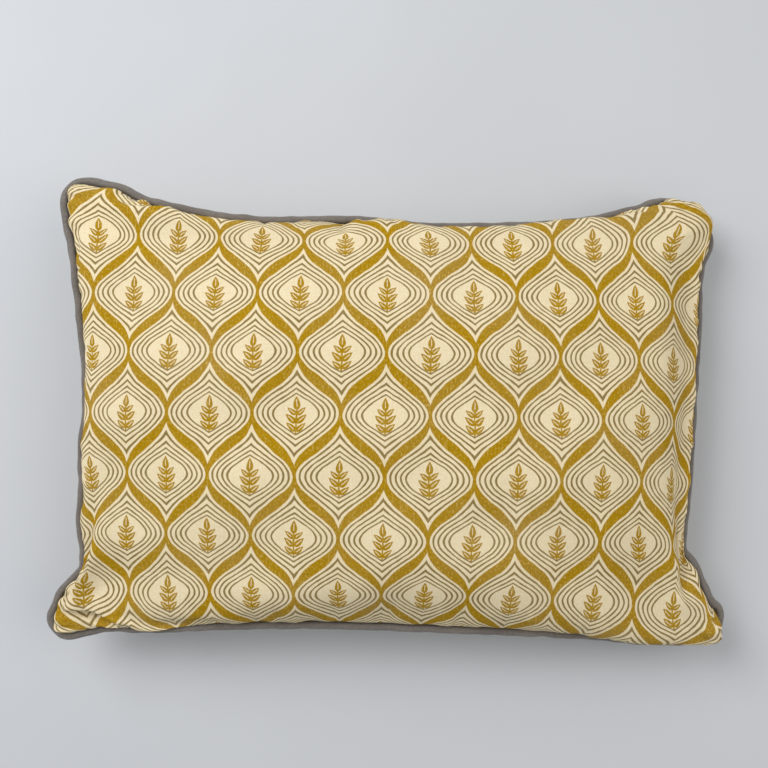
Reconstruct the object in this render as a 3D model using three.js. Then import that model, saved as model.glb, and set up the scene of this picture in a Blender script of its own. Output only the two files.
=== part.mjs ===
// Block printed cushion with a piped edge, lying on its back.
// Millimetres, +Z up out of the printed face, +Y towards the top edge of the face.
// The origin is on the floor, under the middle of the cushion.
import * as THREE from "three";
import { mergeVertices } from "three/addons/utils/BufferGeometryUtils.js";

// Driving dimensions
const seamHeight = 58; // the sewn edge above the floor
const crownFront = 69; // the middle of the face above the sewn edge
const crownBack = 80; // the same for the back, before the floor flattens it
const floorBlend = 8; // depth over which the back turns into its flat spot
const pipingDiameter = 7.2;
const sewingGap = 0.3; // between the cover's edge and the piping

// How full the cover is: the rise from the seam follows (1 - |share| ^ breadth) ^ rise.
const fullness = {
  along: { breadth: 2.5, rise: 0.66 },
  across: { breadth: 2.1, rise: 0.66 },
};

// Grid of the cover, closer together towards the seam
const cellsAlong = 48;
const cellsAcross = 32;
const seamCrowding = 0.62;
const pipingSides = 10;

// Corners of the sewn edge before rounding: lift is how far the seam comes forward
// of seamHeight, and round is how far from the corner the turn starts.
const corners = [
  { name: "topLeft", x: -286, y: 203.5, lift: 10, round: 17 },
  { name: "topRight", x: 300, y: 193, lift: -26, round: 38 },
  { name: "bottomRight", x: 300.5, y: -205.5, lift: -18, round: 24 },
  { name: "bottomLeft", x: -294, y: -195.5, lift: 2, round: 14 },
];

// The four sides, clockwise from the top left corner. along is a share of the straight
// line between the two corners, drawnIn the pull of the filling towards the middle.
const sides = [
  [
    { along: 0.08, drawnIn: 5.5, lift: 9.5 },
    { along: 0.11, drawnIn: 14.5, lift: 9 },
    { along: 0.16, drawnIn: 21.5, lift: 9 },
    { along: 0.22, drawnIn: 28, lift: 8 },
    { along: 0.3, drawnIn: 32, lift: 7 },
    { along: 0.42, drawnIn: 30, lift: 6 },
    { along: 0.47, drawnIn: 30.5, lift: 5 },
    { along: 0.55, drawnIn: 34.5, lift: 4 },
    { along: 0.62, drawnIn: 33.5, lift: 2 },
    { along: 0.73, drawnIn: 29.5, lift: -3 },
    { along: 0.81, drawnIn: 23, lift: -7 },
    { along: 0.88, drawnIn: 12, lift: -10 },
    { along: 0.915, drawnIn: 4, lift: -15 },
  ],
  [
    { along: 0.105, drawnIn: 2, lift: -23.5 },
    { along: 0.135, drawnIn: 9, lift: -21 },
    { along: 0.18, drawnIn: 13, lift: -18.5 },
    { along: 0.28, drawnIn: 16, lift: -14.5 },
    { along: 0.42, drawnIn: 21.5, lift: -12 },
    { along: 0.605, drawnIn: 28, lift: -9.5 },
    { along: 0.7, drawnIn: 32.5, lift: -7.5 },
    { along: 0.77, drawnIn: 37, lift: -5.5 },
    { along: 0.8, drawnIn: 36.5, lift: -5 },
    { along: 0.825, drawnIn: 29, lift: -5 },
    { along: 0.86, drawnIn: 22, lift: -6 },
    { along: 0.92, drawnIn: 10, lift: -9 },
  ],
  [
    { along: 0.12, drawnIn: 1, lift: -13 },
    { along: 0.17, drawnIn: 4.5, lift: -9 },
    { along: 0.29, drawnIn: 10, lift: 3 },
    { along: 0.42, drawnIn: 12.5, lift: 7 },
    { along: 0.53, drawnIn: 14, lift: 7 },
    { along: 0.65, drawnIn: 14, lift: 7 },
    { along: 0.79, drawnIn: 10, lift: 4 },
    { along: 0.85, drawnIn: 7.5, lift: 3 },
    { along: 0.9, drawnIn: 7, lift: -1 },
    { along: 0.93, drawnIn: 6, lift: -3 },
  ],
  [
    { along: 0.047, drawnIn: 2.5, lift: 3 },
    { along: 0.078, drawnIn: 7, lift: 3.5 },
    { along: 0.11, drawnIn: 18, lift: 4.5 },
    { along: 0.148, drawnIn: 28.5, lift: 5 },
    { along: 0.19, drawnIn: 27, lift: 6 },
    { along: 0.26, drawnIn: 24, lift: 8 },
    { along: 0.31, drawnIn: 26, lift: 9 },
    { along: 0.41, drawnIn: 24, lift: 10 },
    { along: 0.47, drawnIn: 26.5, lift: 10 },
    { along: 0.57, drawnIn: 25.5, lift: 10.5 },
    { along: 0.71, drawnIn: 18, lift: 11 },
    { along: 0.86, drawnIn: 8.5, lift: 10.5 },
    { along: 0.91, drawnIn: 3.5, lift: 10.5 },
  ],
];

// Folds that run into the face from the corners: a trough has depth above nought,
// a ridge below, and reach is how far it spreads to either side.
const foldsStart = 0.2; // share of the crown by which a fold has its whole depth
const folds = [
  { name: "lower left notch", from: [-266, -132], to: [-212, -148], depth: 8, reach: 11 },
  { name: "lower left ear", from: [-270, -160], to: [-226, -162], depth: -4, reach: 9 },
  { name: "lower left pinch", from: [-262, -176], to: [-240, -194], depth: 6, reach: 9 },
  { name: "lower right notch", from: [266, -120], to: [240, -156], depth: 9, reach: 11 },
  { name: "lower right ear", from: [280, -150], to: [222, -182], depth: -4, reach: 12 },
  { name: "upper right dimple", from: [283, 116], to: [258, 88], depth: 6, reach: 12 },
  { name: "upper left tuck", from: [-274, 190], to: [-228, 160], depth: 5, reach: 12 },
];

// The sewn edge

function cornerPoint(index) {
  const { x, y, lift } = corners[index % corners.length];
  return new THREE.Vector3(x, y, lift);
}

// One side as a smooth line from where one corner's turn ends to where the next begins.
function sideLine(index) {
  const start = cornerPoint(index);
  const end = cornerPoint(index + 1);
  const line = end.clone().sub(start).setZ(0);
  const inward = new THREE.Vector3(line.y, -line.x, 0).normalize();
  const roundShare = (k) => corners[k % corners.length].round / line.length();
  const at = ({ along, drawnIn, lift }) =>
    start.clone().addScaledVector(line, along).addScaledVector(inward, drawnIn).setZ(lift);
  const rows = [
    { along: roundShare(index), drawnIn: 0, lift: start.z },
    ...sides[index],
    { along: 1 - roundShare(index + 1), drawnIn: 0, lift: end.z },
  ];
  return new THREE.CatmullRomCurve3(rows.map(at), false, "centripetal");
}

const sideLines = sides.map((_, index) => sideLine(index));

// The turn at a corner, split in its middle so that each side owns half of it.
function cornerHalves(index) {
  const before = sideLines[(index + 3) % 4].getPoint(1);
  const after = sideLines[index].getPoint(0);
  const tip = cornerPoint(index);
  const turn = new THREE.QuadraticBezierCurve3(before, tip, after);
  const middle = turn.getPoint(0.5);
  return {
    arriving: new THREE.QuadraticBezierCurve3(before, before.clone().lerp(tip, 0.5), middle),
    leaving: new THREE.QuadraticBezierCurve3(middle, tip.clone().lerp(after, 0.5), after),
  };
}

const turns = corners.map((_, index) => cornerHalves(index));

// Corner middle to corner middle, measured by length.
const seamSides = sides.map((_, index) => {
  const whole = new THREE.CurvePath();
  whole.add(turns[index].leaving);
  whole.add(sideLines[index]);
  whole.add(turns[(index + 1) % 4].arriving);
  return whole;
});

// Shares from 0 to 1, crowded towards both ends.
function crowded(share) {
  return share - (seamCrowding * Math.sin(2 * Math.PI * share)) / (2 * Math.PI);
}

const seamPoint = (side, share) => seamSides[side].getPointAt(THREE.MathUtils.clamp(share, 0, 1));

// The cover

// Where a point of the panel lies in plan, and the lift of the seam carried in to it.
// across and up run from 0 to 1 over the panel, from the bottom left corner.
function panelPoint(across, up, edge) {
  const { top, bottom, left, right } = edge;
  const ruledUp = bottom.clone().lerp(top, up);
  const ruledAcross = left.clone().lerp(right, across);
  const corner = edge.bottomLeft.clone().lerp(edge.bottomRight, across);
  corner.lerp(edge.topLeft.clone().lerp(edge.topRight, across), up);
  return ruledUp.add(ruledAcross).sub(corner);
}

function rise(share, { breadth, rise }) {
  const fromMiddle = Math.min(1, Math.abs(2 * share - 1));
  return (1 - fromMiddle ** breadth) ** rise;
}

// How much a fold lowers the face at a place in plan: a soft ditch that dies out at both ends.
function foldDepth(fold, x, y) {
  const [fromX, fromY] = fold.from;
  const runX = fold.to[0] - fromX;
  const runY = fold.to[1] - fromY;
  const share = ((x - fromX) * runX + (y - fromY) * runY) / (runX ** 2 + runY ** 2);
  const nearest = THREE.MathUtils.clamp(share, 0, 1);
  const away = Math.hypot(x - fromX - nearest * runX, y - fromY - nearest * runY);
  return fold.depth * Math.exp(-((away / fold.reach) ** 2));
}

// The floor takes over smoothly where the back would reach below it.
function restOnFloor(height) {
  if (height >= floorBlend) return height;
  if (height <= -floorBlend) return 0;
  return (height + floorBlend) ** 2 / (4 * floorBlend);
}

function coverGeometry() {
  const positions = [];
  const index = [];
  const cornerAt = (k) => seamPoint(k, 0);
  const [topLeft, topRight, bottomRight, bottomLeft] = [0, 1, 2, 3].map(cornerAt);
  const columns = cellsAlong + 1;
  const layerSize = columns * (cellsAcross + 1);
  const layers = [
    { crown: crownFront, sense: 1 },
    { crown: crownBack, sense: -1 },
  ];
  for (const { crown, sense } of layers) {
    for (let row = 0; row <= cellsAcross; row++) {
      const up = crowded(row / cellsAcross);
      const left = seamPoint(3, up);
      const right = seamPoint(1, 1 - up);
      for (let column = 0; column <= cellsAlong; column++) {
        const across = crowded(column / cellsAlong);
        const top = seamPoint(0, across);
        const bottom = seamPoint(2, 1 - across);
        const edge = { top, bottom, left, right, topLeft, topRight, bottomRight, bottomLeft };
        const place = panelPoint(across, up, edge);
        const full = rise(across, fullness.along) * rise(up, fullness.across);
        let height = seamHeight + place.z * (1 - full) + sense * crown * full;
        if (sense > 0) {
          const sunk = folds.reduce((sum, fold) => sum + foldDepth(fold, place.x, place.y), 0);
          height -= sunk * Math.min(1, full / foldsStart);
        } else {
          height = restOnFloor(height);
        }
        positions.push(place.x, place.y, height);
      }
    }
  }
  // Triangles of both layers, wound to face outwards, cut along the diagonal nearest the corner
  const cell = (a, b, c, d, flip) => {
    const quad = flip ? [a, b, d, b, c, d] : [a, b, c, a, c, d];
    index.push(...quad);
  };
  for (let row = 0; row < cellsAcross; row++) {
    for (let column = 0; column < cellsAlong; column++) {
      const a = row * columns + column;
      const corner = [a, a + 1, a + 1 + columns, a + columns];
      const flip = column < cellsAlong / 2 === row < cellsAcross / 2;
      const under = corner.map((k) => k + layerSize);
      cell(corner[0], corner[1], corner[2], corner[3], flip);
      cell(under[1], under[0], under[3], under[2], !flip);
    }
  }
  const geometry = new THREE.BufferGeometry();
  geometry.setAttribute("position", new THREE.Float32BufferAttribute(positions, 3));
  geometry.setIndex(index);
  return mergeVertices(geometry, 1e-3);
}

// The piping

// A closed line just outside the sewn edge, with its points beside the cover's own.
class PipingLine extends THREE.Curve {
  constructor() {
    super();
    this.counts = [cellsAlong, cellsAcross, cellsAlong, cellsAcross];
    this.total = 2 * (cellsAlong + cellsAcross);
  }

  seamAt(step) {
    let rest = ((step % this.total) + this.total) % this.total;
    let side = 0;
    while (rest >= this.counts[side]) {
      rest -= this.counts[side];
      side += 1;
    }
    return seamPoint(side, crowded(rest / this.counts[side]));
  }

  getPoint(share) {
    const step = share * this.total;
    const ahead = this.seamAt(step + 0.5).sub(this.seamAt(step - 0.5));
    const outward = new THREE.Vector3(-ahead.y, ahead.x, 0).normalize();
    const offset = pipingDiameter / 2 + sewingGap;
    return this.seamAt(step).addScaledVector(outward, offset).add(new THREE.Vector3(0, 0, seamHeight));
  }

  getPointAt(share) {
    return this.getPoint(share);
  }

  getTangentAt(share) {
    const half = 0.5 / this.total;
    return this.getPoint(share + half).sub(this.getPoint(share - half)).normalize();
  }
}

function pipingGeometry() {
  const line = new PipingLine();
  const tube = new THREE.TubeGeometry(line, line.total, pipingDiameter / 2, pipingSides, true);
  tube.deleteAttribute("normal");
  tube.deleteAttribute("uv");
  return mergeVertices(tube, 1e-3);
}

// The part

const printedCloth = new THREE.MeshStandardMaterial({
  color: 0xd9bf83,
  roughness: 0.95,
  metalness: 0,
});
const greyCloth = new THREE.MeshStandardMaterial({
  color: 0x8b8683,
  roughness: 0.95,
  metalness: 0,
});

function piece(name, geometry, material) {
  const mesh = new THREE.Mesh(geometry, material);
  mesh.name = name;
  return mesh;
}

const made = new THREE.Group();
made.add(piece("cushion", coverGeometry(), printedCloth));
made.add(piece("piping", pipingGeometry(), greyCloth));

// The origin goes under the middle of the whole cushion.
const middle = new THREE.Box3().setFromObject(made, true).getCenter(new THREE.Vector3());
made.position.set(-middle.x, -middle.y, 0);

const cushion = new THREE.Group();
cushion.add(made);

export default cushion;
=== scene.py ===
import math
import bpy
import numpy as np
from mathutils import Matrix, Vector
from mathutils.bvhtree import BVHTree
from mathutils.kdtree import KDTree


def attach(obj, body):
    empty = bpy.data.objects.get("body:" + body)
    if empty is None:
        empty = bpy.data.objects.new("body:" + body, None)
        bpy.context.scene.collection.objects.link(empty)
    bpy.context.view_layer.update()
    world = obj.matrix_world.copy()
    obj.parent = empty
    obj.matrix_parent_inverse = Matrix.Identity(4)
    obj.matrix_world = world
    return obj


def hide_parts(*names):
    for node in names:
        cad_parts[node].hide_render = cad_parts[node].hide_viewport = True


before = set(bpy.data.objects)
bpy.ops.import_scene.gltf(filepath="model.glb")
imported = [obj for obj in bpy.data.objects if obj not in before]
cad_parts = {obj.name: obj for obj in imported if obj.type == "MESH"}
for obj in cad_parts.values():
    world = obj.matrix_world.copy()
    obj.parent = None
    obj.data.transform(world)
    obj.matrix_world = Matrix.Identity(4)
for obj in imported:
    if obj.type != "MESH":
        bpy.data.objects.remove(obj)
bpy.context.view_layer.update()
scene = bpy.context.scene
scene.view_settings.view_transform = "Standard"
millimetre = 0.001


# camera, light and floor

room = {
    "imageSide": 768,  # pixels
    "focalLength": 900,  # pixels
    "sensorWidth": 36,
    "middleAt": (389.7, 412.2),  # pixel where the middle of the sewn edge falls
    "pixelsPerMetre": 1108.5,  # at that place
    "leanBack": 3.0,  # degrees, the top edge is further from the lens
    "sewnEdgeHeight": 0.058,
    "keyPlace": (-1.2, 0.95, 1.6),
    "keySize": 1.3,
    "keyPower": 33.5,
    "keyTint": (1.0, 0.985, 0.96),
    "fillPlace": (1.5, 0.1, 1.6),
    "fillSize": 1.8,
    "fillPower": 14.5,
    "fillTint": (1.0, 0.93, 0.82),
    "skyTint": (0.96, 0.98, 1.0, 1),
    "skyStrength": 0.41,
    "floorSide": 9,
    "floorTone": (0.585, 0.612, 0.655),
    "floorShade": 0.975,  # share of that tone in the darker patches
    "floorPatches": (3, 3.0),  # per metre, and detail
    "floorBlend": (0.3, 0.7),
    "floorRoughness": 0.8,
}


def setCamera():
    data = bpy.data.cameras.new("camera")
    data.sensor_width = room["sensorWidth"]
    data.lens = data.sensor_width * room["focalLength"] / room["imageSide"]
    camera = bpy.data.objects.new("camera", data)
    scene.collection.objects.link(camera)
    turn = Matrix.Rotation(math.radians(room["leanBack"]), 4, "X")
    distance = room["focalLength"] / room["pixelsPerMetre"]
    right = (room["middleAt"][0] - room["imageSide"] / 2) / room["focalLength"]
    down = (room["middleAt"][1] - room["imageSide"] / 2) / room["focalLength"]
    middle = Vector((0, 0, room["sewnEdgeHeight"]))
    camera.matrix_world = Matrix.Translation(middle - turn @ Vector((right, -down, -1)) * distance) @ turn
    scene.camera = camera


def softLight(name):
    data = bpy.data.lights.new(name + "Light", "AREA")
    data.size = room[name + "Size"]
    data.energy = room[name + "Power"]
    data.color = room[name + "Tint"]
    light = bpy.data.objects.new(name + "Light", data)
    light.location = room[name + "Place"]
    light.rotation_euler = (-Vector(room[name + "Place"])).to_track_quat("-Z", "Y").to_euler()
    scene.collection.objects.link(light)


def setLights():
    softLight("key")
    softLight("fill")
    world = bpy.data.worlds.new("sky")
    world.use_nodes = True
    sky = world.node_tree.nodes["Background"]
    sky.inputs["Color"].default_value = room["skyTint"]
    sky.inputs["Strength"].default_value = room["skyStrength"]
    scene.world = world


setCamera()
setLights()
print("camera and lights set")


# the sewn edge, read from the solids

seam = {
    "reach": 2.2 * millimetre,  # a cover point this near the piping is on the seam
    "leastStep": 0.5 * millimetre,
    "pipingRadius": 3.6 * millimetre,
    "gap": 0.3 * millimetre,
}


def pointsOf(piece):
    flat = np.empty(len(piece.data.vertices) * 3)
    piece.data.vertices.foreach_get("co", flat)
    return flat.reshape(-1, 3)


def nearestTree(points):
    tree = KDTree(len(points))
    for index, point in enumerate(points):
        tree.insert(point, index)
    tree.balance()
    return tree


def readSeam():
    beside = nearestTree(pointsOf(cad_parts["piping"]))
    found = [p for p in pointsOf(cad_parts["cushion"]) if beside.find(p)[2] < seam["reach"]]
    found.sort(key=lambda p: math.atan2(p[1], p[0]))
    loop = [found[0]]
    for point in found[1:]:
        if np.linalg.norm(point - loop[-1]) > seam["leastStep"]:
            loop.append(point)
    return np.array(loop)


def smoothLine(points, count):
    # evenly spaced points on a cubic through the given ones
    step = np.linalg.norm(np.diff(points, axis=0), axis=1)
    run = np.concatenate([[0], np.cumsum(step)])
    slope = np.gradient(points, run, axis=0)
    place = np.linspace(0, run[-1], count)
    before = np.clip(np.searchsorted(run, place) - 1, 0, len(step) - 1)
    length = step[before][:, None]
    t = ((place - run[before]) / step[before])[:, None]
    start = (1 + 2 * t) * (1 - t) ** 2 * points[before] + t * (1 - t) ** 2 * length * slope[before]
    end = t**2 * (3 - 2 * t) * points[before + 1] + t**2 * (t - 1) * length * slope[before + 1]
    return start + end


def seamSides(cells):
    # bottom and top run to the right, left and right run up
    loop = readSeam()
    middle = (loop.max(0) + loop.min(0)) / 2
    half = (loop.max(0) - loop.min(0)) / 2
    share = (loop - middle) / half

    def corner(right, up):
        return int(np.argmax(right * share[:, 0] + up * share[:, 1]))

    def stretch(start, end, count):
        picked = np.arange(start, start + (end - start) % len(loop) + 1) % len(loop)
        return smoothLine(loop[picked], count + 1)

    bottomLeft, bottomRight = corner(-1, -1), corner(1, -1)
    topLeft, topRight = corner(-1, 1), corner(1, 1)
    return {
        "bottom": stretch(bottomLeft, bottomRight, cells[0]),
        "right": stretch(bottomRight, topRight, cells[1]),
        "top": stretch(topRight, topLeft, cells[0])[::-1],
        "left": stretch(topLeft, bottomLeft, cells[1])[::-1],
    }


# the filled cover: two panels cut flat, gathered, sewn along the edge and blown up

cover = {
    "cut": (0.606, 0.416),  # width and height of each panel
    "cells": (128, 86),  # for the filling
    "finerCells": (258, 172),
    "crowding": 0.5,  # how much closer the cells get towards the edges
    "seed": 4,
    "gatherHeight": 1.5 * millimetre,
    "gatherRange": (0.35, 1.0),  # shares of that height
    "gatherReach": 10 * millimetre,
    "gatherWidth": (20 * millimetre, 50 * millimetre),
    "apart": 1.0 * millimetre,  # of each panel from the seam plane before filling
    "sewnBy": 16,  # frame
    "frames": 40,
    "pressure": 50,
    "pointMass": 0.001,
    "stretch": 20,
    "shear": 5,
    "bending": 4.0,
    "damping": 5,
    "quality": 6,
    "stand": 4.3 * millimetre,  # height to which the cloth stands up beside the piping
    "standBack": 0.6 * millimetre,
    "climb": 0.15,  # least slope of the front from there on
    "climbReach": 20 * millimetre,
    "ironShare": 0.5,
    "plainFrom": 30 * millimetre,  # distance from the seam at which the face starts to get plain
    "plainOver": 40 * millimetre,
    "plainPasses": 30,
    "slopeFrom": 20 * millimetre,  # distance at which it starts to follow the solid
    "slopeOver": 50 * millimetre,
    "slopeDegree": 3,
    "castHeight": 1,
    "rimHold": 5 * millimetre,  # the stitches hold the cloth within about this distance
    "settling": 6,  # passes that lay the cloth round the piping
    "settleReach": 12 * millimetre,
    "settleWithin": 36 * millimetre,
    "backBulge": 2.5 * millimetre,  # past the middle of the piping
    "backWithin": 96 * millimetre,
    "clear": 0.25 * millimetre,  # between the cloth and the piping
    "lowestTurn": math.radians(5),  # round the piping, from the seam over the top
    "highestTurn": math.radians(130),
    "floorBlend": 8 * millimetre,  # depth over which the back turns into its flat spot
    "thickness": 2 * millimetre,  # least distance between the panels, away from the seam
    "bakeMargin": 0.01,
    "fill": 0.85,
}
boltShift = (1.13, 0.031)  # from the front panel to the back one, on the cloth before it is cut

# folds held down while the cover fills: place on the flat panel and where it goes, in millimetres;
# a carved one then rises or sinks on the left and the right of its way
tucks = {
    "lowerLeftRoll": {
        "cut": [(-290, -176), (-274, -177), (-257, -180), (-242, -185), (-230, -192), (-224, -199)],
        "to": [(-283, -166, 67), (-271, -168, 68), (-255, -170, 69), (-239, -174, 70), (-226, -180, 71),
               (-219, -187, 69)],
        "carve": {"left": 3, "leftReach": 8, "right": -6, "rightReach": 8, "fadeIn": 0.15, "fadeOut": 0.4},
    },
    "lowerLeftNotch": {
        "cut": [(-295, -144), (-286, -148)],
        "to": [(-272, -141, 66), (-267, -144, 74)],
    },
    "lowerRightNotch": {
        "cut": [(293, -114), (286, -118), (277, -126), (269, -136), (263, -146)],
        "to": [(256, -126, 58), (251, -131, 59), (247, -139, 61), (244, -148, 67), (241, -156, 76)],
        "carve": {"left": -3, "leftReach": 6, "right": -3, "rightReach": 6, "fadeIn": 0.05, "fadeOut": 0.6},
    },
}
folding = {"samples": 60, "crease": 1.6 * millimetre}
sideRoll = {  # of the right side
    "cells": 7,
    "start": 0.26,  # shares of the side
    "end": 0.88,
    "fade": 0.05,
    "lean": 0.15,  # outwards at the foot
    "pull": 0.4,
}
border = {
    "reach": {
        "left": 8 * millimetre,
        "right": 14 * millimetre,
        "bottom": 9 * millimetre,
        "top": 9 * millimetre,
    },
    "width": 60 * millimetre,
    "reachGrowth": 0.7,  # more reach where the cloth leans further
    "foot": 6 * millimetre,  # height over which a side that is drawn in leaves the piping
    "passes": 5,
    "gain": 0.7,
    "window": 3 * millimetre,
    "smooth": 9 * millimetre,
    # share of the side, and how much of the piping shows past the cloth there, in millimetres
    "left": [(0.0, 4.5), (0.06, 4), (0.12, 3.5), (0.165, 3), (0.22, 4), (0.3, 4.5), (0.38, 4), (0.45, 3.5),
             (0.5, 2.5), (0.56, 2.5), (0.62, 4.5), (0.7, 5.5), (0.8, 6), (0.9, 6), (0.95, 5), (1.0, 4)],
    "right": [(0.0, -1), (0.04, 0), (0.08, 3), (0.12, 3.3), (0.16, 3), (0.23, 2), (0.4, 2), (0.5, 1.5),
              (0.6, 2), (0.78, 2.5), (0.86, 1.5), (0.89, 0), (0.92, -1.5), (1.0, -2.5)],
    "bottom": [(0.0, 4.5), (0.05, 4), (0.08, 3), (0.1, 0.5), (0.15, 0.5), (0.18, 3.5), (0.24, 5.5),
               (0.35, 6.2), (0.5, 6.5), (0.62, 6.2), (0.72, 5.2), (0.78, 4), (0.82, 1.5), (0.85, -0.3),
               (0.9, -1), (1.0, -1)],
    "top": [(0.0, 4), (0.05, 6), (0.12, 5), (0.25, 6), (0.32, 5), (0.42, 6.5), (0.45, 3), (0.47, 0.5),
            (0.505, -0.8), (0.53, 1), (0.56, 3), (0.62, 3.5), (0.68, 3), (0.72, 1), (0.76, 0), (0.8, 0.3),
            (0.83, 2.5), (0.93, 2.5), (0.955, 1.5), (0.975, -1.5), (1.0, -2.5)],
}
swells = {  # place in plan, reach and rise in millimetres
    "lowerLeftEar": {"place": (-285, -176), "reach": 17, "rise": 4},
    "lowerRightEar": {"place": (284, -178), "reach": 20, "rise": 4},
    "upperRightEar": {"place": (276, 168), "reach": 24, "rise": 6},
}
lumps = {
    "height": 1.1 * millimetre,
    "width": (60 * millimetre, 130 * millimetre),
    "waves": 26,
    "reach": 30 * millimetre,
}
puckers = {
    "step": 7 * millimetre,
    "fineShare": 0.6,  # of the ones half as wide
    "reach": 6 * millimetre,
    "height": 1.3 * millimetre,
    "left": 1.2,  # shares of that height
    "right": 1.1,
    "bottom": 0.5,
    "top": 1.0,
}
random = np.random.default_rng(cover["seed"])


def smooth(share):
    return share * share * (3 - 2 * share)


def bell(away, reach):
    near = away / reach
    return near * np.exp(1 - near)


def freed(away):
    # 0 at the stitches, 1 well away from them
    return 1 - np.exp(-((away / cover["rimHold"]) ** 2))


def flatGrid():
    across = np.linspace(-0.5, 0.5, cover["cells"][0] + 1) * cover["cut"][0]
    up = np.linspace(-0.5, 0.5, cover["cells"][1] + 1) * cover["cut"][1]
    return np.meshgrid(across, up)


def fromSides(across, up):
    # for each side: way out, distance from it, share of its length and that length
    width, height = cover["cut"]
    return {
        "left": ((-1, 0, 0), across + width / 2, up / height + 0.5, height),
        "right": ((1, 0, 0), width / 2 - across, up / height + 0.5, height),
        "bottom": ((0, -1, 0), up + height / 2, across / width + 0.5, width),
        "top": ((0, 1, 0), height / 2 - up, across / width + 0.5, width),
    }


def fromEdge(sides):
    # distance from the nearest side
    return np.minimum.reduce([away for _, away, _, _ in sides.values()])


def gathers(length):
    # round bulges between the tighter stitches of one side
    ends = [0.0]
    while ends[-1] < length:
        ends.append(ends[-1] + random.uniform(*cover["gatherWidth"]))
    ends = np.array(ends) * length / ends[-1]
    height = random.uniform(*cover["gatherRange"], len(ends))

    def at(place):
        bulge = np.clip(np.searchsorted(ends, place, side="right") - 1, 0, len(ends) - 2)
        share = np.clip((place - ends[bulge]) / (ends[bulge + 1] - ends[bulge]), 0, 1)
        return height[bulge] * np.sqrt(np.sin(np.pi * share))

    return at


def gathered(across, up):
    raised = np.zeros_like(across)
    for _, away, along, length in fromSides(across, up).values():
        raised += gathers(length)(along * length) * bell(away, cover["gatherReach"])
    return cover["gatherHeight"] * raised


def gridFaces(numbers, flip):
    corners = [numbers[:-1, :-1], numbers[:-1, 1:], numbers[1:, 1:], numbers[1:, :-1]]
    if flip:
        corners.reverse()
    return np.stack(corners, -1).reshape(-1, 4)


class Panels:
    # point numbers of a front and a back grid that share their rim
    def __init__(self, rows, columns):
        self.front = np.arange(rows * columns).reshape(rows, columns)
        self.inside = np.zeros((rows, columns), bool)
        self.inside[1:-1, 1:-1] = True
        self.back = self.front.copy()
        self.back[self.inside] = rows * columns + np.arange(self.inside.sum())
        self.faces = np.vstack([gridFaces(self.front, False), gridFaces(self.back, True)])

    def join(self, front, back):
        return np.vstack([front.reshape(-1, 3), back[self.inside]])

    def part(self, points):
        return points[self.front], points[self.back]


def meshObject(name, points, faces):
    mesh = bpy.data.meshes.new(name)
    mesh.from_pydata(points.tolist(), [], faces.tolist())
    mesh.shade_smooth()
    piece = bpy.data.objects.new(name, mesh)
    scene.collection.objects.link(piece)
    return piece


def tucked(across, up):
    # numbers of the front's grid points on the tucks, and where each of them goes
    cell = cover["cut"][0] / cover["cells"][0]
    flat = np.dstack([across, up]).reshape(-1, 2)
    places = {}
    for row in tucks.values():
        stations = np.array([(*cut, *to) for cut, to in zip(row["cut"], row["to"])]) * millimetre
        line = smoothLine(stations, folding["samples"])
        for number, point in enumerate(flat):
            offset = point - line[:, :2]
            nearest = np.linalg.norm(offset, axis=1).argmin()
            if np.abs(offset[nearest]).max() < cell / 2:
                places[number] = line[nearest, 2:] + (*offset[nearest], 0)
    return np.array(list(places)), np.array(list(places.values()))


def standing(panels, rim):
    # the first row inside the rim stands up or down beside the piping
    back, stand = cover["standBack"], cover["stand"]
    numbers, places = [], []
    for grid, height in ((panels.front, stand), (panels.back, -stand)):
        numbers += [grid[1, 1:-1], grid[-2, 1:-1], grid[1:-1, 1], grid[1:-1, -2]]
        places += [rim[0, 1:-1] + (0, back, height), rim[-1, 1:-1] + (0, -back, height)]
        places += [rim[1:-1, 0] + (back, 0, height), rim[1:-1, -1] + (-back, 0, height)]
    return np.concatenate(numbers), np.vstack(places)


def simulate(panels, start, rim, held):
    # the rim moves from the flat cut to the sewn edge while the filling swells
    piece = meshObject("blank", start, panels.faces)
    piece.shape_key_add(name="flat")
    sewn = piece.shape_key_add(name="sewn")
    heldNumbers, heldPlaces = held
    edge = panels.front[~panels.inside]
    target = start.copy()
    target[edge] = rim[~panels.inside]
    target[heldNumbers] = heldPlaces
    sewn.data.foreach_set("co", target.ravel())
    for value, at in ((0, 1), (1, cover["sewnBy"])):
        sewn.value = value
        sewn.keyframe_insert("value", frame=at)
    pinned = np.concatenate([edge, heldNumbers])
    piece.vertex_groups.new(name="rim").add(pinned.tolist(), 1.0, "REPLACE")
    cloth = piece.modifiers.new("filling", "CLOTH")
    settings = cloth.settings
    settings.quality = cover["quality"]
    settings.mass = cover["pointMass"]
    settings.tension_stiffness = cover["stretch"]
    settings.compression_stiffness = cover["stretch"]
    settings.shear_stiffness = cover["shear"]
    settings.bending_stiffness = cover["bending"]
    settings.tension_damping = cover["damping"]
    settings.compression_damping = cover["damping"]
    settings.shear_damping = cover["damping"]
    settings.use_pressure = True
    settings.uniform_pressure_force = cover["pressure"]
    settings.vertex_group_mass = "rim"
    settings.effector_weights.gravity = 0
    cloth.collision_settings.use_collision = False
    for at in range(1, cover["frames"] + 1):
        scene.frame_set(at)
    filled = pointsOf(piece.evaluated_get(bpy.context.evaluated_depsgraph_get()))
    blank = piece.data
    bpy.data.objects.remove(piece)
    bpy.data.meshes.remove(blank)
    scene.frame_set(1)
    return filled


def climbed(front, rim, away):
    # the front never hangs below the top of the piping
    edge = rim[away == 0]
    tree = nearestTree(edge * (1, 1, 0))
    heights = np.array([edge[tree.find(point)[1], 2] for point in front.reshape(-1, 3) * (1, 1, 0)])
    beyond = np.clip(away - cover["stand"], 0, cover["climbReach"])
    least = heights.reshape(away.shape) + np.clip(away, 0, cover["stand"]) + cover["climb"] * beyond
    return np.dstack([front[..., :2], np.maximum(front[..., 2], least)])


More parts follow.
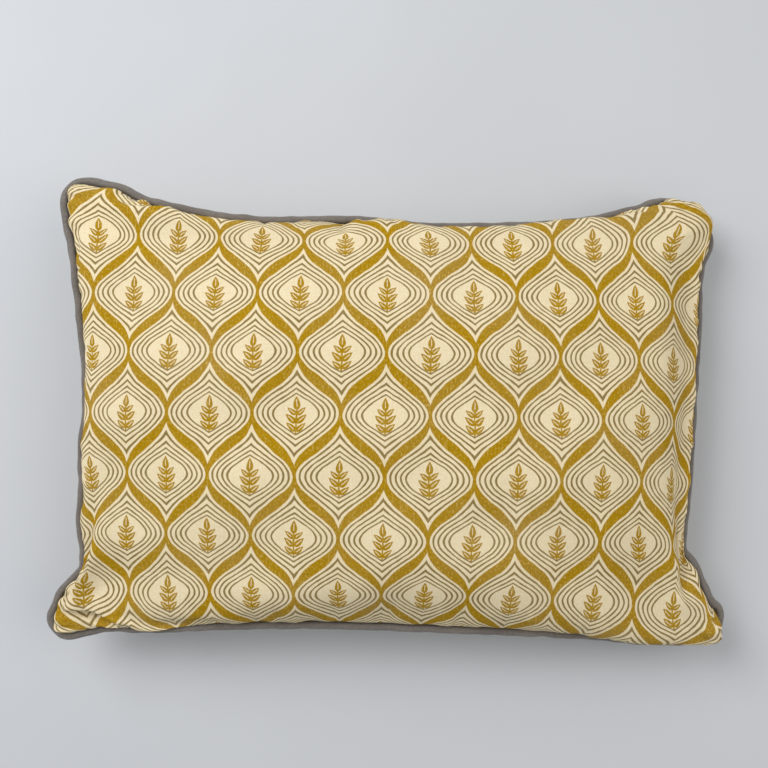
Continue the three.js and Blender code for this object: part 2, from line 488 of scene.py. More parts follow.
def rolled(front):
    # the right side leaves the piping upright and rounds into the face
    cells = sideRoll["cells"]
    foot, face, beyond = front[:, -2], front[:, -2 - cells], front[:, -4 - cells]
    length = np.linalg.norm(face - foot, axis=1, keepdims=True) * sideRoll["pull"]
    arrive = (face - beyond) / np.linalg.norm(face - beyond, axis=1, keepdims=True)
    first, second = foot + length * (sideRoll["lean"], 0, 1), face + length * arrive
    share = np.linspace(0, 1, len(front))
    fromEnds = np.minimum(share - sideRoll["start"], sideRoll["end"] - share)
    weight = np.clip(fromEnds / sideRoll["fade"], 0, 1)[:, None]
    shaped = front.copy()
    for number in range(1, cells):
        t = number / cells
        curve = (1 - t) ** 3 * foot + 3 * t * (1 - t) ** 2 * first + 3 * t**2 * (1 - t) * second + t**3 * face
        shaped[:, -2 - number] += (curve - front[:, -2 - number]) * weight
    return shaped


def overSolid(front, away):
    # how far the filled face stands over the solid's, as one soft slope
    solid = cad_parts["cushion"]
    tree = BVHTree.FromPolygons(pointsOf(solid).tolist(), [face.vertices for face in solid.data.polygons])
    x, y = front[..., 0] / cover["cut"][0], front[..., 1] / cover["cut"][1]
    degree = cover["slopeDegree"]
    terms = np.stack([x**i * y**j for i in range(degree + 1) for j in range(degree + 1 - i)], -1)
    inner = away > cover["slopeFrom"] + cover["slopeOver"] / 2
    starts = [Vector((*point[:2], cover["castHeight"])) for point in front[inner]]
    tops = [tree.ray_cast(start, Vector((0, 0, -1)))[0].z for start in starts]
    slope = np.linalg.lstsq(terms[inner], front[inner][:, 2] - tops, rcond=None)[0]
    return terms @ slope * smooth(np.clip((away - cover["slopeFrom"]) / cover["slopeOver"], 0, 1))


def resampled(grid, cells):
    # more cells along the first axis, on cubics through the points and closest together at both ends
    place = np.linspace(-1, 1, cells + 1)
    place = (place + cover["crowding"] * np.sin(np.pi * place) / np.pi + 1) / 2 * (len(grid) - 1)
    padded = np.concatenate([2 * grid[:1] - grid[1:2], grid, 2 * grid[-1:] - grid[-2:-1]])
    before = np.clip(place.astype(int), 0, len(grid) - 2)
    t = (place - before)[:, None, None]
    first, second, third, fourth = (padded[before + k] for k in range(4))
    slope = third - first
    bend = 2 * first - 5 * second + 4 * third - fourth
    twist = 3 * (second - third) + fourth - first
    return second + (slope + (bend + twist * t) * t) * t / 2


def finer(grid):
    across, up = cover["finerCells"]
    return resampled(resampled(grid, up).swapaxes(0, 1), across).swapaxes(0, 1)


def ironed(grid, share):
    # draws each point inside the rim towards the middle of its four neighbours
    middle = (grid[:-2, 1:-1] + grid[2:, 1:-1] + grid[1:-1, :-2] + grid[1:-1, 2:]) / 4
    even = grid.copy()
    even[1:-1, 1:-1] += (middle - grid[1:-1, 1:-1]) * share
    return even


def restOnFloor(height):
    blend = cover["floorBlend"]
    bend = (height + blend) ** 2 / (4 * blend)
    return np.where(height >= blend, height, np.where(height <= -blend, 0, bend))


def eased(rows, along):
    # soft steps from row to row
    places = np.array([row[0] for row in rows])
    sizes = np.array([row[1] for row in rows])
    before = np.clip(np.searchsorted(places, along, side="right") - 1, 0, len(rows) - 2)
    share = smooth(np.clip((along - places[before]) / (places[before + 1] - places[before]), 0, 1))
    return sizes[before] * (1 - share) + sizes[before + 1] * share


def seenLevel(points):
    # where the camera sees the points on the level of the sewn edge
    eye = np.array(scene.camera.matrix_world.translation)
    share = (eye[2] - room["sewnEdgeHeight"]) / (eye[2] - points[..., 2])
    return eye[:2] + (points[..., :2] - eye[:2]) * share[..., None]


def pipingShows(points, line, sense):
    # how much of the piping the camera sees past the cloth at each point of one side
    ahead = np.gradient(line[:, :2], axis=0)
    ahead /= np.linalg.norm(ahead, axis=1, keepdims=True)
    outward = np.stack([ahead[:, 1], -ahead[:, 0]], -1) * sense
    width = 2 * seam["pipingRadius"] + seam["gap"]
    edge = seenLevel(line + np.pad(outward * width, ((0, 0), (0, 1))))
    shows = np.full(len(line), width)
    for index in range(len(line)):
        offset = points - edge[index]
        beside = np.abs(offset @ ahead[index]) < border["window"]
        outermost = np.max(offset[beside] @ outward[index], initial=-width)
        shows[index] = min(width, -outermost)
    return shows


def softened(values, step):
    reach = int(3 * border["smooth"] / step)
    weight = np.exp(-((np.arange(-reach, reach + 1) * step / border["smooth"]) ** 2))
    return np.convolve(np.pad(values, reach, mode="edge"), weight / weight.sum(), mode="valid")


def shapeBorder(grid, sides, seamLines):
    # the cloth leans out until as much of the piping shows as the table says
    near = fromEdge(sides) < border["width"]
    lean = {side: np.zeros(len(line)) for side, line in seamLines.items()}
    for _ in range(border["passes"] + 1):
        shaped = grid.copy()
        for side, (outward, away, along, length) in sides.items():
            over = np.interp(along, np.linspace(0, 1, len(lean[side])), lean[side])
            over *= freed(np.minimum(along, 1 - along) * length)  # the next side's stitches hold it
            above = np.clip(away - cover["stand"], 0, None)
            reach = border["reach"][side] + border["reachGrowth"] * np.abs(over)
            drawn = (1 - np.exp(-above / border["foot"])) * np.exp(-above / (2 * reach))
            over *= np.where(over > 0, bell(above, reach), drawn)
            shaped += over[..., None] * np.array(outward)
        cloth = seenLevel(shaped[near])
        for side, line in seamLines.items():
            shows = pipingShows(cloth, line, 1 if side in ("bottom", "right") else -1)
            wanted = eased(border[side], np.linspace(0, 1, len(line))) * millimetre
            step = np.linalg.norm(line[1] - line[0])
            lean[side] += border["gain"] * softened(shows - wanted, step)
    return shaped


def gridNormals(grid):
    alongRow = np.gradient(grid, axis=1)
    alongColumn = np.gradient(grid, axis=0)
    normal = np.cross(alongRow, alongColumn)
    return normal / np.linalg.norm(normal, axis=2, keepdims=True)


def smoothNoise(count, step):
    # random values with a soft run of about the given step between them
    knots = random.normal(0, 1, int(count / step) + 3)
    place = np.arange(count) / step
    before = place.astype(int)
    share = smooth(place - before)
    return knots[before] * (1 - share) + knots[before + 1] * share


def pucker(sides):
    # short wrinkles square to the seam
    rise = 0
    for side, (outward, away, along, length) in sides.items():
        upright = outward[0] != 0
        count = along.shape[0 if upright else 1]
        step = puckers["step"] / length * (count - 1)
        wave = smoothNoise(count, step) + puckers["fineShare"] * smoothNoise(count, step / 2)
        wave = wave[:, None] if upright else wave[None, :]
        rise = rise + puckers[side] * wave * bell(away, puckers["reach"])
    return rise * puckers["height"]


def lump(across, up):
    # soft unevenness of the filling
    rise = np.zeros_like(across)
    for _ in range(lumps["waves"]):
        angle, phase = random.uniform(0, 2 * math.pi, 2)
        pitch = 2 * math.pi / random.uniform(*lumps["width"])
        rise += np.sin((across * math.cos(angle) + up * math.sin(angle)) * pitch + phase)
    return rise * lumps["height"] * math.sqrt(2 / lumps["waves"])


def swell(grid, row):
    away = np.linalg.norm(grid[..., :2] - np.array(row["place"]) * millimetre, axis=2)
    return row["rise"] * millimetre * np.exp(-((away / (row["reach"] * millimetre)) ** 2))


def fold(grid, row):
    # the cloth rises or sinks on both sides of a tuck
    line = smoothLine(np.array(row["to"], float)[:, :2] * millimetre, folding["samples"])
    ahead = np.gradient(line, axis=0)
    nearest = np.full(grid.shape[:2], np.inf)
    signed, place = np.zeros(grid.shape[:2]), np.zeros(grid.shape[:2])
    for index, (point, way) in enumerate(zip(line, ahead)):
        offset = grid[..., :2] - point
        away = np.linalg.norm(offset, axis=2)
        aside = offset[..., 0] * way[1] - offset[..., 1] * way[0]
        closer = away < nearest
        signed = np.where(closer, away * np.sign(aside), signed)
        place = np.where(closer, index / (len(line) - 1), place)
        nearest = np.where(closer, away, nearest)
    carve = row["carve"]
    turned = smooth(np.clip(signed / (2 * folding["crease"]) + 0.5, 0, 1))
    left = carve["left"] * np.exp(-((signed / (carve["leftReach"] * millimetre)) ** 2))
    right = carve["right"] * np.exp(-((signed / (carve["rightReach"] * millimetre)) ** 2))
    fade = smooth(np.clip(np.minimum(place / carve["fadeIn"], (1 - place) / carve["fadeOut"]), 0, 1))
    return (left * (1 - turned) + right * turned) * fade * millimetre


def shapeFront(grid, across, up, seamLines):
    sides = fromSides(across, up)
    away = fromEdge(sides)

    def raised(grid, rise):
        return grid + gridNormals(grid) * (rise * freed(away))[..., None]

    rise = sum(swell(grid, row) for row in swells.values())
    rise += sum(fold(grid, row) for row in tucks.values() if "carve" in row)
    rise += lump(across, up) * (1 - np.exp(-away / lumps["reach"]))
    grid = shapeBorder(raised(grid, rise), sides, seamLines)
    return raised(grid, pucker(sides))


def keepApart(front, back, away):
    # the two panels never pass through each other
    short = np.clip(np.minimum(away / 2, cover["thickness"]) - (front[..., 2] - back[..., 2]), 0, None)
    front[..., 2] += short / 2
    back[..., 2] -= short / 2


def clearOf(tree, line, outward, points, upward):
    # lays cloth that is in the piping on its surface, between the seam and a little past the top
    least = seam["pipingRadius"] + cover["clear"]
    for index, point in enumerate(points):
        _, place, distance = tree.find(point)
        if distance < least:
            offset = point - line[place]
            out, rise = offset @ outward[place], offset[2] * upward
            turn = math.atan2(rise, -out) if rise > 0 or out < 0 else math.pi
            turn = min(max(turn, cover["lowestTurn"]), cover["highestTurn"])
            points[index] = line[place] - outward[place] * least * math.cos(turn)
            points[index][2] += least * math.sin(turn) * upward
    return points


def drawnIn(tree, line, outward, points):
    # the back bulges no further out than the piping
    most = cover["backBulge"]
    places = [tree.find(point)[1] for point in points]
    out = np.clip(((points - line[places]) * outward[places]).sum(1), 0, None)
    return points + outward[places] * (most * np.tanh(out / most) - out)[:, None]


def settled(grid, line, outward, away, upward):
    # lays the cloth softly round the piping
    tree = nearestTree(line)
    beside = (away > 0) & (away < cover["settleWithin"])
    if upward < 0:
        bulging = (away > 0) & (away < cover["backWithin"])
        grid[bulging] = drawnIn(tree, line, outward, grid[bulging])
    share = (np.exp(-((away / cover["settleReach"]) ** 2)) * cover["ironShare"])[1:-1, 1:-1, None]
    for _ in range(cover["settling"]):
        grid = ironed(grid, share)
        grid[beside] = clearOf(tree, line, outward, grid[beside], upward)
    return grid


def filledPanels(across, up, rim):
    # both panels flat, gathered and a little apart, then blown up
    panels = Panels(*across.shape)
    flat = np.dstack([across, up, np.zeros_like(across)]) + rim[~panels.inside].mean(0)
    front, back = flat.copy(), flat.copy()
    front[panels.inside, 2] += cover["apart"] + gathered(across, up)[panels.inside]
    back[panels.inside, 2] -= cover["apart"] + gathered(across, up)[panels.inside]
    held = [np.concatenate(pair) for pair in zip(standing(panels, rim), tucked(across, up))]
    filled = simulate(panels, panels.join(front, back), rim, held)
    print("cover filled, from", filled.min(0).round(4), "to", filled.max(0).round(4))
    return panels.part(filled)


def plainFace(front, rim, away):
    # tidies the filled front: clear of the piping, even, and as high as the solid
    front = ironed(rolled(climbed(front, rim, away)), cover["ironShare"])
    inside = np.clip((away - cover["plainFrom"]) / cover["plainOver"], 0, 1)[1:-1, 1:-1, None]
    for _ in range(cover["plainPasses"]):
        front = ironed(front, inside * cover["ironShare"])
    front[..., 2] -= overSolid(front, away)
    return front


def makeCover(pipingLine, pipingOutward, seamLines):
    across, up = flatGrid()
    rim = np.zeros((*across.shape, 3))
    rim[0], rim[-1] = seamLines["bottom"], seamLines["top"]
    rim[:, 0], rim[:, -1] = seamLines["left"], seamLines["right"]
    front, back = filledPanels(across, up, rim)
    front = finer(plainFace(front, rim, fromEdge(fromSides(across, up))))
    back = finer(ironed(back, cover["ironShare"]))
    across, up = finer(across[..., None])[..., 0], finer(up[..., None])[..., 0]
    away = fromEdge(fromSides(across, up))
    front = settled(shapeFront(front, across, up, seamLines), pipingLine, pipingOutward, away, 1)
    back = settled(back, pipingLine, pipingOutward, away, -1)
    back[..., 2] = restOnFloor(back[..., 2])
    keepApart(front, back, away)
    panels = Panels(*front.shape[:2])
    piece = meshObject("cover", panels.join(front, back), panels.faces)
    panelMaps(piece, np.dstack([across, up]))
    print("cover made,", len(panels.faces), "faces")
    return piece


def panelMaps(piece, flat):
    # "panel" is the flat cloth in metres, the back further along the bolt; OFBake lays both on one square
    margin = cover["bakeMargin"]
    onBolt = {"front": flat, "back": flat * (-1, 1) + boltShift}
    share = (flat / cover["cut"] + 0.5) * (1 - 2 * margin, 0.5 - 2 * margin) + margin
    onSquare = {"front": share, "back": share + (0, 0.5)}
    numbers = np.arange(flat.shape[0] * flat.shape[1]).reshape(flat.shape[:2])
    for name, places in (("panel", onBolt), ("OFBake", onSquare)):
        frontLoops = places["front"].reshape(-1, 2)[gridFaces(numbers, False).ravel()]
        backLoops = places["back"].reshape(-1, 2)[gridFaces(numbers, True).ravel()]
        layer = piece.data.uv_layers.new(name=name)
        layer.uv.foreach_set("vector", np.vstack([frontLoops, backLoops]).ravel().astype(np.float32))


# the piping: a plain bias strip over a cord

piping = {
    "steps": 880,
    "sides": 20,
    "thinner": (0.05, 0.035),  # share of the radius everywhere, and in waves
    "wobble": 0.28 * millimetre,
    "asideWaves": (41, 57, 73, 101),  # times round the edge
    "upWaves": (38, 62, 83),
    "thinWaves": (47, 71, 97, 131),
    "flangePower": 12,
    "stripLength": 2.0,
    "bakeRows": 11,
    "bakeMargin": (0.01, 0.05),  # along and over each row
}


def closedLine(seamLines, count):
    # once round the sewn edge, against the clock from the bottom left corner
    bottom, right, top, left = (seamLines[side] for side in ("bottom", "right", "top", "left"))
    return smoothLine(np.vstack([bottom, right[1:], top[::-1][1:], left[::-1][1:]]), count + 1)[:-1]


def ripple(count, waves):
    # a closed uneven wave between about -1 and 1
    place = np.arange(count) / count * 2 * np.pi
    return sum(np.sin(place * wave + random.uniform(0, 2 * np.pi)) for wave in waves) / math.sqrt(len(waves))


def besideSeam(edge):
    ahead = np.roll(edge, -1, axis=0) - np.roll(edge, 1, axis=0)
    outward = np.stack([ahead[:, 1], -ahead[:, 0], np.zeros(len(edge))], -1)
    outward /= np.linalg.norm(outward, axis=1, keepdims=True)
    wobble = piping["wobble"] * (1 + ripple(len(edge), piping["asideWaves"]))
    line = edge + outward * (seam["pipingRadius"] + seam["gap"] + wobble)[:, None]
    line[:, 2] += piping["wobble"] * ripple(len(edge), piping["upWaves"])
    return line, outward


def makePiping(line, outward, edge):
    ahead = np.roll(line, -1, axis=0) - np.roll(line, 1, axis=0)
    ahead /= np.linalg.norm(ahead, axis=1, keepdims=True)
    upward = np.cross(ahead, -outward)
    around = np.linspace(0, 2 * np.pi, piping["sides"], endpoint=False)
    everywhere, inWaves = piping["thinner"]
    radius = seam["pipingRadius"] * (1 - everywhere - inWaves * ripple(len(line), piping["thinWaves"]))
    ring = np.cos(around)[None, :, None] * outward[:, None] + np.sin(around)[None, :, None] * upward[:, None]
    points = line[:, None] + ring * radius[:, None, None]
    flange = np.clip(-np.cos(around), 0, 1) ** piping["flangePower"]  # the strip's edge runs into the seam
    points += flange[None, :, None] * (edge - line + outward * radius[:, None])[:, None]
    numbers = np.arange(len(line) * piping["sides"]).reshape(len(line), piping["sides"])
    closed = np.pad(numbers, ((0, 1), (0, 1)), mode="wrap")
    piece = meshObject("piping_cord", points.reshape(-1, 3), gridFaces(closed, True))
    pipingMaps(piece, len(line))
    print("piping made,", len(line), "steps")
    return piece


def pipingMaps(piece, steps):
    # "strip" is the flat bias strip in metres; OFBake cuts its length into rows
    girth = 2 * np.pi * seam["pipingRadius"]
    rows, columns = np.meshgrid(np.arange(steps + 1), np.arange(piping["sides"] + 1), indexing="ij")
    numbers = np.arange(rows.size).reshape(rows.shape)
    corners = gridFaces(numbers, True).ravel()
    ahead, over = rows.ravel()[corners], columns.ravel()[corners] / piping["sides"]
    strip = np.stack([ahead / steps * piping["stripLength"], over * girth], -1)
    perRow = steps / piping["bakeRows"]
    rowOf = np.repeat(np.arange(steps) // perRow, piping["sides"] * 4)
    marginAlong, marginOver = piping["bakeMargin"]
    along = (ahead - rowOf * perRow) / perRow * (1 - 2 * marginAlong) + marginAlong
    over = (over * (1 - 2 * marginOver) + marginOver + rowOf) / piping["bakeRows"]
    for name, places in (("strip", strip), ("OFBake", np.stack([along, over], -1))):
        layer = piece.data.uv_layers.new(name=name)
        layer.uv.foreach_set("vector", places.ravel().astype(np.float32))


# shader sums

class Wire:
    # a node's output that can be used in sums
    def __init__(self, socket):
        self.socket = socket

    def node(self, kind, settings, sockets, out=0):
        tree = self.socket.id_data
        made = tree.nodes.new("ShaderNode" + kind)
        for name, value in settings.items():
            setattr(made, name, value)
        for name, value in sockets.items():
            if isinstance(value, Wire):
                tree.links.new(value.socket, made.inputs[name])
            else:
                made.inputs[name].default_value = value
        return Wire(made.outputs[out])

    def also(self, out):
        return Wire(self.socket.node.outputs[out])

    def into(self, shader, name):
        self.socket.id_data.links.new(self.socket, shader.inputs[name])

    def maths(self, operation, *values):
        return self.node("Math", {"operation": operation}, dict(enumerate(values)))

    def vectors(self, operation, *values):
        return self.node("VectorMath", {"operation": operation}, dict(enumerate(values)))

    def __add__(self, other):
        return self.maths("ADD", self, other)

    def __radd__(self, other):
        return self.maths("ADD", other, self)

    def __sub__(self, other):
        return self.maths("SUBTRACT", self, other)

    def __rsub__(self, other):
        return self.maths("SUBTRACT", other, self)

    def __mul__(self, other):
        return self.maths("MULTIPLY", self, other)

    def __rmul__(self, other):
        return self.maths("MULTIPLY", other, self)

    def __truediv__(self, other):
        return self.maths("DIVIDE", self, other)

    def __rtruediv__(self, other):
        return self.maths("DIVIDE", other, self)

    def __abs__(self):
        return self.maths("ABSOLUTE", self)

    def __lt__(self, other):
        return self.maths("LESS_THAN", self, other)

    def sine(self):
        return self.maths("SINE", self)

    def cosine(self):
        return self.maths("COSINE", self)

    def root(self):
        return self.maths("SQRT", self)

    def atLeast(self, other):
        return self.maths("MAXIMUM", self, other)

    def atMost(self, other):
        return self.maths("MINIMUM", self, other)

    def rise(self, start, end):
        # 0 up to start, 1 from end on, soft between
        ends = {"Value": self, "From Min": start, "From Max": end}
        return self.node("MapRange", {"interpolation_type": "SMOOTHSTEP"}, ends)

    def between(self, first, second):
        # this value as the share of the second colour
        return self.node("Mix", {"data_type": "RGBA"}, {0: self, 6: first, 7: second}, out=2)

    def noise(self, scale, detail, stretch=(1, 1, 1)):
        # self is a place, and scale is patches per metre
        place = self.vectors("MULTIPLY", self, stretch)
        return self.node("TexNoise", {"noise_dimensions": "2D"},
                         {"Vector": place, "Scale": scale, "Detail": detail})


def mixed(wires, shares):
    return sum(wires[name] * share for name, share in shares.items())


def tone(code):
    # a hex colour as linear light
    shares = [int(code[k:k + 2], 16) / 255 for k in (0, 2, 4)]
    return (*(s / 12.92 if s <= 0.04045 else ((s + 0.055) / 1.055) ** 2.4 for s in shares), 1.0)


def newShader(name, constants):
    material = bpy.data.materials.new(name)
    material.use_nodes = True
    shader = material.node_tree.nodes["Principled BSDF"]
    for socket, value in constants.items():
        shader.inputs[socket].default_value = value
    return material, shader, Wire(shader.outputs[0])


# printed cloth: an ogee trellis with a sprig in each cell, block printed in one ink

design = {
    "width": 74 * millimetre,  # of one ogee
    "height": 104 * millimetre,
    "cutAt": (7 * millimetre, 0, 0),  # where the panel was cut from the print
    "bandThin": 1.5 * millimetre,  # half widths of the trellis
    "bandThick": 4.5 * millimetre,
    "echoes": 4,
    "firstEcho": 3.0 * millimetre,
    "echoPitch": 4.5 * millimetre,
    "echoHalf": 0.88 * millimetre,
    "knife": (110, 1.0),  # noise of its unsteady line
    "knifeWidth": (0.65, 0.7),  # least share of a cut's width, and what the noise adds
    "softEdge": 0.2 * millimetre,
    "slowWobble": 1.8 * millimetre,
    "quickWobble": 0.55 * millimetre,
}
sprig = {  # in millimetres, before its scale
    "scale": 0.78,
    "stemHalf": 0.7 * millimetre,  # not scaled
    "stemFoot": (-21.2, -20.6),
    "stemTop": (6.5, 6.0),
    "bladeWidth": 2.6,
    "vein": (0.45 * millimetre, 0.2 * millimetre),  # not scaled
    "veinStart": (0.16, 0.26),  # shares of the leaf's length
    "veinEnd": (0.78, 0.70),
    "leaves": [
        {"root": (0.5, -18.0), "lean": 0.85, "length": 13.5, "width": 3.3},
        {"root": (0.5, -9.5), "lean": 0.85, "length": 14.5, "width": 3.5},
        {"root": (0.5, -1.0), "lean": 0.85, "length": 12.5, "width": 3.0},
        {"root": (0.0, 4.5), "lean": 0.0, "length": 15.0, "width": 3.9},
    ],
}
clothTones = {
    # painted shade: the dark brown the cloth turns towards at the seam, standing in for the shade in the
    # crease beside the piping
    "paintedSeamShade": "4a3c28",
    "cream": "ebddbc",
    "creamShade": "e3d3ae",
    "ink": "ad8700",
    "inkDark": "9b7700",
    "inkPale": "b69108",
    "line": "877344",
}
clothLook = {
    "constants": {"Sheen Weight": 0.02, "Sheen Roughness": 0.5, "Specular IOR Level": 0.12},
    "slowBend": (45, 1.0),  # noises: patches per metre, detail and stretch
    "quickBend": (170, 1.0),
    "threads": {
        "warp": (1000, 2.0, (1, 0.06, 1)),  # upright
        "weft": (1000, 2.0, (0.05, 1, 1)),
        "slub": (620, 1.0, (1, 0.7, 1)),
        "grain": (1400, 1.0),
        "wash": (14, 2.0),
    },
    "starved": {"warp": 0.25, "slub": 0.4, "grain": 0.35},  # where the block missed a thread
    "starvedRange": (0.54, 0.68),
    "starvedLoss": 0.22,
    "washCover": (0.2, 0.88),
    "ground": {"warp": 0.3, "weft": 0.3, "slub": 0.4},
    "groundRange": (0.36, 0.64),
    "depth": {"warp": 0.2, "weft": 0.2, "slub": 0.4, "wash": 0.2},
    "depthRange": (0.36, 0.62),
    # painted shade at the seam: how far it reaches, then the share of the cloth's own colour it adds away
    # from the seam and the share left at the seam
    "paintedSeamShadeWidth": 3.0 * millimetre,
    "paintedSeamShadeShares": (0.7, 0.3),
    "roughness": (0.93, 0.06, 0.05),  # bare cloth, less where printed, and the grain's share
    "weavePitch": 0.85 * millimetre,
    "relief": {"weave": 0.45, "warp": 0.8, "weft": 0.45},
    "bump": {"Strength": 0.35, "Distance": 0.0006},
}


def leafMask(aside, along, row):
    size = sprig["scale"] * millimetre
    rootX, rootY = (value * size for value in row["root"])
    length, width = row["length"] * size, row["width"] * size
    sine, cosine = math.sin(row["lean"]), math.cos(row["lean"])
    out = (aside - rootX) * sine + (along - rootY) * cosine
    across = abs((aside - rootX) * cosine - (along - rootY) * sine)
    share = (out / length).atLeast(0).atMost(1)
    blade = share.root() * (1 - share) * (sprig["bladeWidth"] * width) - across
    vein = across.rise(*sprig["vein"]) * share.rise(*sprig["veinStart"]) * share.rise(*sprig["veinEnd"])
    return blade.rise(0, 2 * design["softEdge"]) * (1 - vein)


def inkMask(place):
    width, height, soft = design["width"], design["height"], design["softEdge"]
    x = place.node("SeparateXYZ", {}, {"Vector": place})
    y = x.also(1)
    turn = y * (2 * math.pi / height)
    across = x.maths("PINGPONG", x, width / 2)
    gap = (turn.cosine() + 1) * (width / 4) - across
    steep = turn.sine() * (math.pi * width / (2 * height))
    away = abs(gap) / (steep * steep + 1).root()
    bandHalf = turn.sine() * turn.sine() * (design["bandThick"] - design["bandThin"]) + design["bandThin"]
    fromBand = away - bandHalf
    leastWidth, moreWidth = design["knifeWidth"]
    cutWidth = place.noise(*design["knife"]) * moreWidth + leastWidth

    def echo(number):
        offLine = abs(fromBand - (design["firstEcho"] + number * design["echoPitch"]))
        return (offLine - cutWidth * design["echoHalf"]).rise(soft, -soft)

    lines = echo(0)
    for number in range(1, design["echoes"]):
        lines = lines.atLeast(echo(number))
    neighbour = gap < 0
    aside = abs(across - neighbour * (width / 2))
    along = x.maths("WRAP", y - neighbour * (height / 2), height / 2, -height / 2)
    size = sprig["scale"] * millimetre
    stem = (aside - cutWidth * sprig["stemHalf"]).rise(soft, -soft)
    for ends in (sprig["stemFoot"], sprig["stemTop"]):
        stem = stem * along.rise(*(end * size for end in ends))
    ink = fromBand.rise(soft, -soft).atLeast(stem)
    for row in sprig["leaves"]:
        ink = ink.atLeast(leafMask(aside, along, row))
    return ink.atLeast(lines), lines


def fromSeam(panel):
    # distance from the panel's edge
    x = panel.node("SeparateXYZ", {}, {"Vector": panel})
    onBack = 1 - (x < cover["cut"][0])
    aside = abs(x - onBack * boltShift[0])
    along = abs(x.also(1) - onBack * boltShift[1])
    return (cover["cut"][0] / 2 - aside).atMost(cover["cut"][1] / 2 - along)


def printedCloth():
    material, shader, start = newShader("printedCloth", clothLook["constants"])
    panel = start.node("UVMap", {"uv_map": "panel"}, {})
    slow = panel.noise(*clothLook["slowBend"]).also(1)
    quick = panel.noise(*clothLook["quickBend"]).also(1)
    bent = panel.vectors("ADD", panel, design["cutAt"])
    bent = panel.vectors("MULTIPLY_ADD", slow, (design["slowWobble"],) * 3, bent)
    bent = panel.vectors("MULTIPLY_ADD", quick, (design["quickWobble"],) * 3, bent)
    ink, lines = inkMask(bent)

    threads = {name: panel.noise(*values) for name, values in clothLook["threads"].items()}
    starved = mixed(threads, clothLook["starved"]).rise(*clothLook["starvedRange"])
    washShare, washLeast = clothLook["washCover"]
    washed = (threads["wash"] * washShare + washLeast).atMost(1)
    inked = ink * (1 - starved * clothLook["starvedLoss"]) * washed
    ground = mixed(threads, clothLook["ground"]).rise(*clothLook["groundRange"])
    cream = ground.between(tone(clothTones["creamShade"]), tone(clothTones["cream"]))
    depth = mixed(threads, clothLook["depth"]).rise(*clothLook["depthRange"])
    printed = depth.between(tone(clothTones["inkDark"]), tone(clothTones["ink"]))
    printed = starved.between(printed, tone(clothTones["inkPale"]))
    printed = lines.between(printed, tone(clothTones["line"]))  # less ink runs into a thin cut
    cloth = inked.between(cream, printed)
    # painted shade: within a few millimetres of the seam the cloth's colour is mixed towards dark brown,
    # standing in for the shade in the crease
    lighter, least = clothLook["paintedSeamShadeShares"]
    paintedSeamShade = fromSeam(panel).rise(0, clothLook["paintedSeamShadeWidth"]) * lighter + least
    paintedSeamShade.between(tone(clothTones["paintedSeamShade"]), cloth).into(shader, "Base Color")
    bare, smoother, rougher = clothLook["roughness"]
    (bare - ink * smoother + threads["grain"] * rougher).into(shader, "Roughness")

    x = panel.node("SeparateXYZ", {}, {"Vector": panel})
    pitch = math.pi / clothLook["weavePitch"]
    threads["weave"] = (x * pitch).sine() * (x.also(1) * pitch).sine() * 0.5 + 0.5
    relief = {"Height": mixed(threads, clothLook["relief"])}
    start.node("Bump", {}, relief | clothLook["bump"]).into(shader, "Normal")
    return material


# grey cloth of the piping

pipingLook = {
    "constants": {"Sheen Weight": 0.25, "Sheen Roughness": 0.5, "Specular IOR Level": 0.2},
    # painted shade: the near-black the flange turns towards where it runs into the seam, standing in for the
    # shade in the crease
    "paintedSeamShade": "2e2b29",
    "dark": "68635f",
    "light": "827c77",
    "weavePitch": 0.6 * millimetre,
    "bias": 0.7071,  # the strip is cut at half a right angle
    "threads": {"slub": (420, 2.0), "wash": (30, 2.0), "crimp": (90, 1.0, (1, 0.35, 1))},
    "shade": {"weave": 0.3, "slub": 0.5, "wash": 0.4},
    "shadeRange": (0.35, 0.85),
    # painted shade on the flange: where it starts and ends from the seam, then the share of the grey it adds
    # away from the seam and the share left at it
    "paintedSeamShadeWidth": (0.5 * millimetre, 3.5 * millimetre),
    "paintedSeamShadeShares": (0.7, 0.3),
    "roughness": (0.9, 0.08),
    "relief": {"weave": 0.35, "slub": 0.35, "crimp": 2.2},
    "bump": {"Strength": 0.4, "Distance": 0.0007},
}


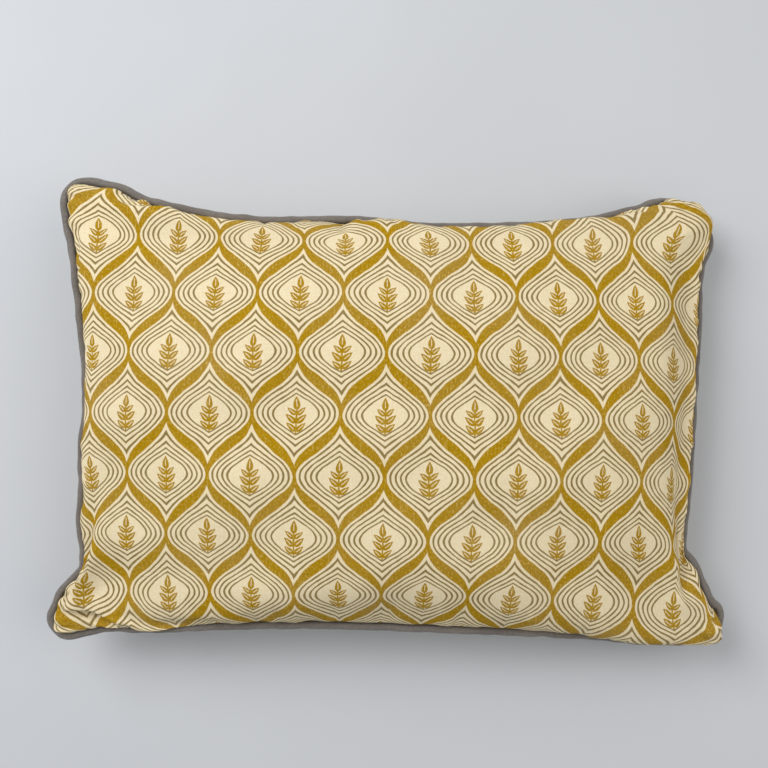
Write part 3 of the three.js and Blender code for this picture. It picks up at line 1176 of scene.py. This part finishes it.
def greyCloth():
    material, shader, start = newShader("greyCloth", pipingLook["constants"])
    strip = start.node("UVMap", {"uv_map": "strip"}, {})
    x = strip.node("SeparateXYZ", {}, {"Vector": strip})
    y = x.also(1)
    threads = {name: strip.noise(*values) for name, values in pipingLook["threads"].items()}
    pitch = math.pi / pipingLook["weavePitch"] * pipingLook["bias"]
    threads["weave"] = ((x + y) * pitch).sine() * ((x - y) * pitch).sine() * 0.5 + 0.5
    shade = mixed(threads, pipingLook["shade"]).rise(*pipingLook["shadeRange"])
    grey = shade.between(tone(pipingLook["dark"]), tone(pipingLook["light"]))
    girth = 2 * math.pi * seam["pipingRadius"]
    # painted shade: the grey is mixed towards near-black close to the seam, standing in for the shade between
    # piping and cloth
    lighter, least = pipingLook["paintedSeamShadeShares"]
    paintedSeamShade = abs(y - girth / 2).rise(*pipingLook["paintedSeamShadeWidth"]) * lighter + least
    paintedSeamShade.between(tone(pipingLook["paintedSeamShade"]), grey).into(shader, "Base Color")
    even, rougher = pipingLook["roughness"]
    (even + threads["slub"] * rougher).into(shader, "Roughness")
    relief = {"Height": mixed(threads, pipingLook["relief"])}
    start.node("Bump", {}, relief | pipingLook["bump"]).into(shader, "Normal")
    return material


def paleFloor():
    material, shader, start = newShader("paleFloor", {"Roughness": room["floorRoughness"]})
    place = start.node("TexCoord", {}, {}, out="Object")
    mottle = place.noise(*room["floorPatches"]).rise(*room["floorBlend"])
    low = tuple(value * room["floorShade"] for value in room["floorTone"])
    mottle.between((*low, 1), (*room["floorTone"], 1)).into(shader, "Base Color")
    return material


def makeFloor():
    half = room["floorSide"] / 2
    corners = np.array([[-half, -half, 0], [half, -half, 0], [half, half, 0], [-half, half, 0]])
    floor = meshObject("floor", corners, np.array([[0, 1, 2, 3]]))
    floor.data.materials.append(paleFloor())


edgeSides = seamSides(cover["cells"])
edgeLine = closedLine(edgeSides, piping["steps"])
cordLine, cordOutward = besideSeam(edgeLine)
print("sewn edge read")

coverPiece = makeCover(cordLine, cordOutward, edgeSides)
coverPiece.data.materials.append(printedCloth())
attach(coverPiece, "root")
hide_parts("cushion")

pipingPiece = makePiping(cordLine, cordOutward, edgeLine)
pipingPiece.data.materials.append(greyCloth())
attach(pipingPiece, "root")
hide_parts("piping")

makeFloor()
print("materials set")
